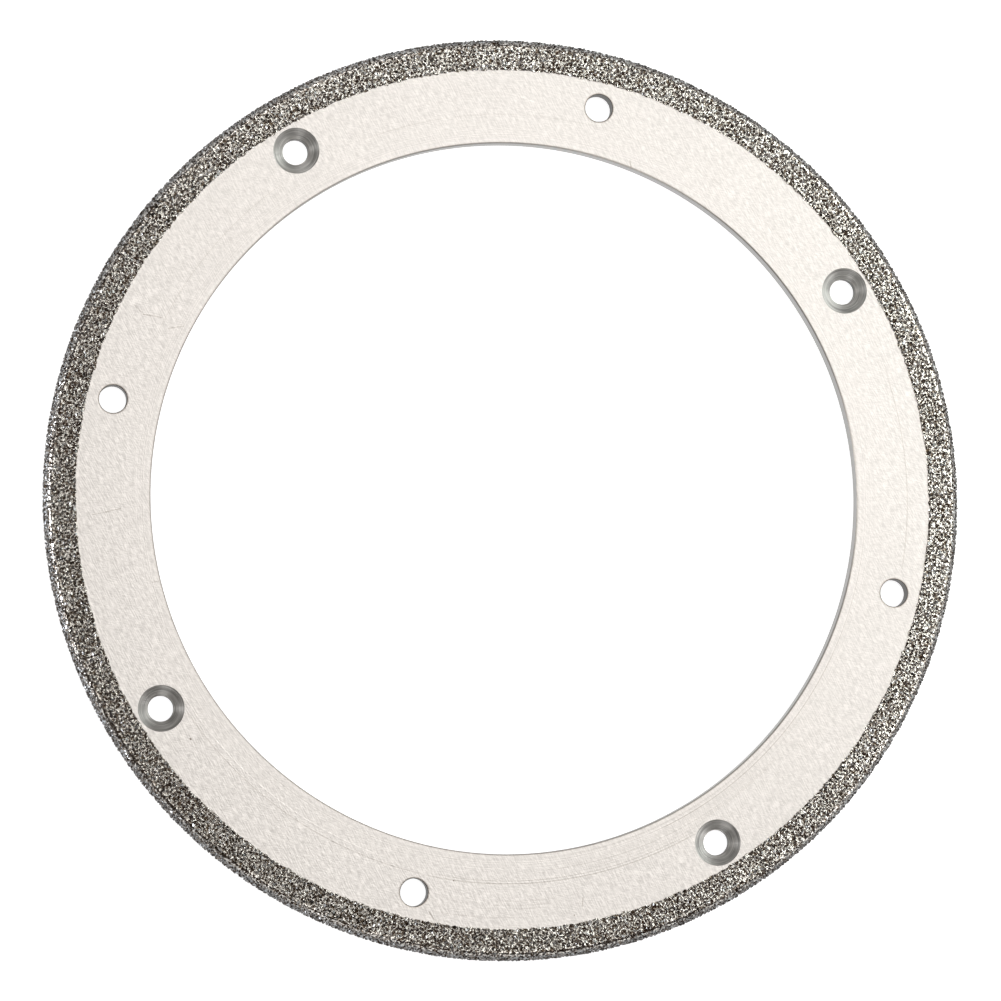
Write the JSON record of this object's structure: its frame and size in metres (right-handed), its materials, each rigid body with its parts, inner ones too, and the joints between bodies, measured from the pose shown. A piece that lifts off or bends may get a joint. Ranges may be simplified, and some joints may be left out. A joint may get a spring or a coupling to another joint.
{
  "type": "cbn grinding wheel",
  "caption": "Flat steel ring with a rounded rim plated in CBN grit, a large centre bore, and countersunk and plain holes alternating on one pitch circle.",
  "frame": {"origin": "centre of the bore on the ring's underside, the plane it lies on", "axes": "+Z along the bore axis, out of the countersunk face; +X through one countersunk hole"},
  "size_m": [0.2, 0.2, 0.0044],
  "materials": {
    "turned_steel": "fine turned, satin",
    "plated_cbn_grit": "coarse grit in a nickel bond"
  },
  "bodies": {
    "root": {"steel_ring": "turned_steel", "cbn_grit_layer": "plated_cbn_grit"}
  },
  "joints": []
}
